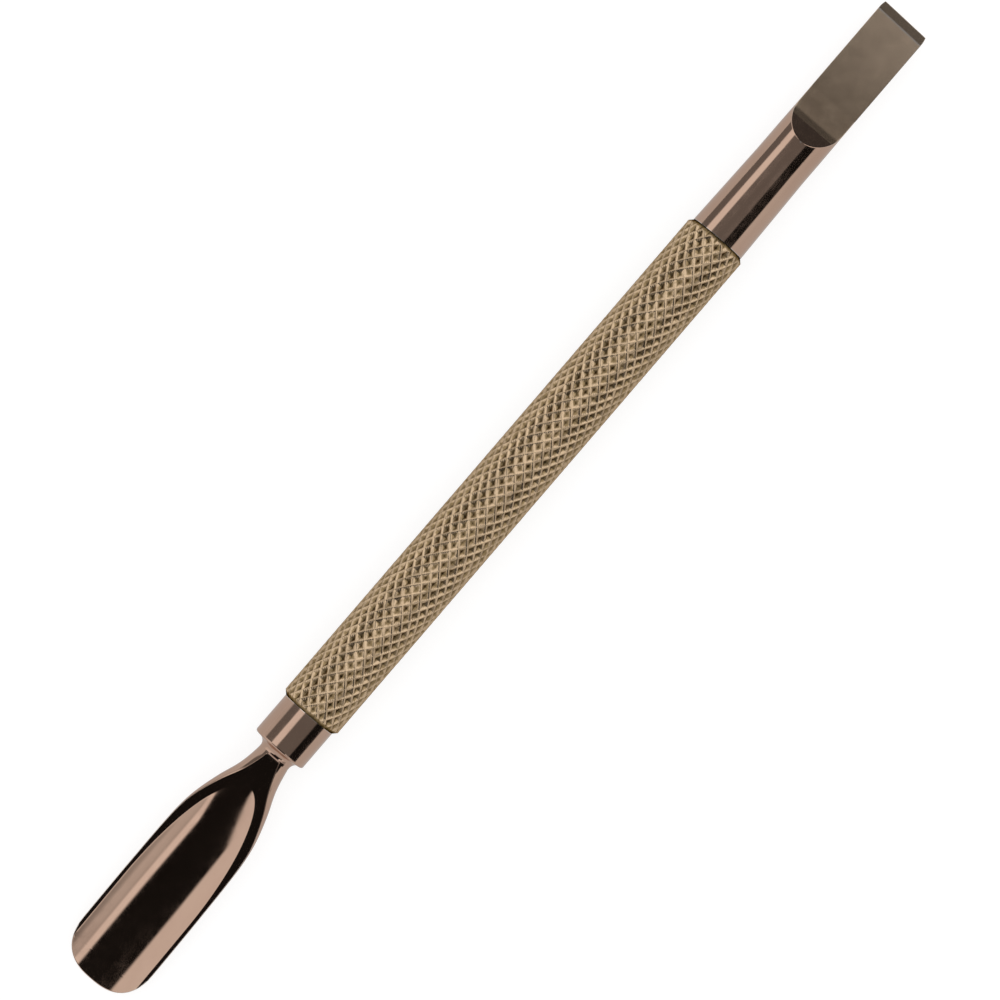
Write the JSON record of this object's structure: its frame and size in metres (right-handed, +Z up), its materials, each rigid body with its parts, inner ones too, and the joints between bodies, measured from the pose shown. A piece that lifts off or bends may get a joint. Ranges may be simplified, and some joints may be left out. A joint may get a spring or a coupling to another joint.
{
  "type": "cuticle pusher",
  "caption": "Double-ended nail care tool: a hollowed spoon pusher and a flat chisel scraper at the ends of a round knurled metal handle.",
  "frame": {"origin": "on the table, under the middle of the tool's length, in the plane of the handle's axis", "axes": "+X runs from the spoon's tip to the scraper's edge; +Z points up out of the spoon's hollow and the blade's flat face"},
  "size_m": [0.127, 0.0093, 0.0069],
  "materials": {
    "coated_steel_polished": "mirror-polished stainless steel with a rose-gold brown vapour-deposited coating; the blade's ground face is satin",
    "coated_steel_knurled": "diamond-knurled stainless steel with the same coating, a little more golden",
    "braze_filler": "dull brazed filler metal, hidden inside the handle"
  },
  "bodies": {
    "root": {"handle_tube": "coated_steel_knurled", "spoon_end": "coated_steel_polished", "scraper_end": "coated_steel_polished", "spoon_braze_sleeve": "braze_filler", "scraper_braze_sleeve": "braze_filler"}
  },
  "joints": []
}
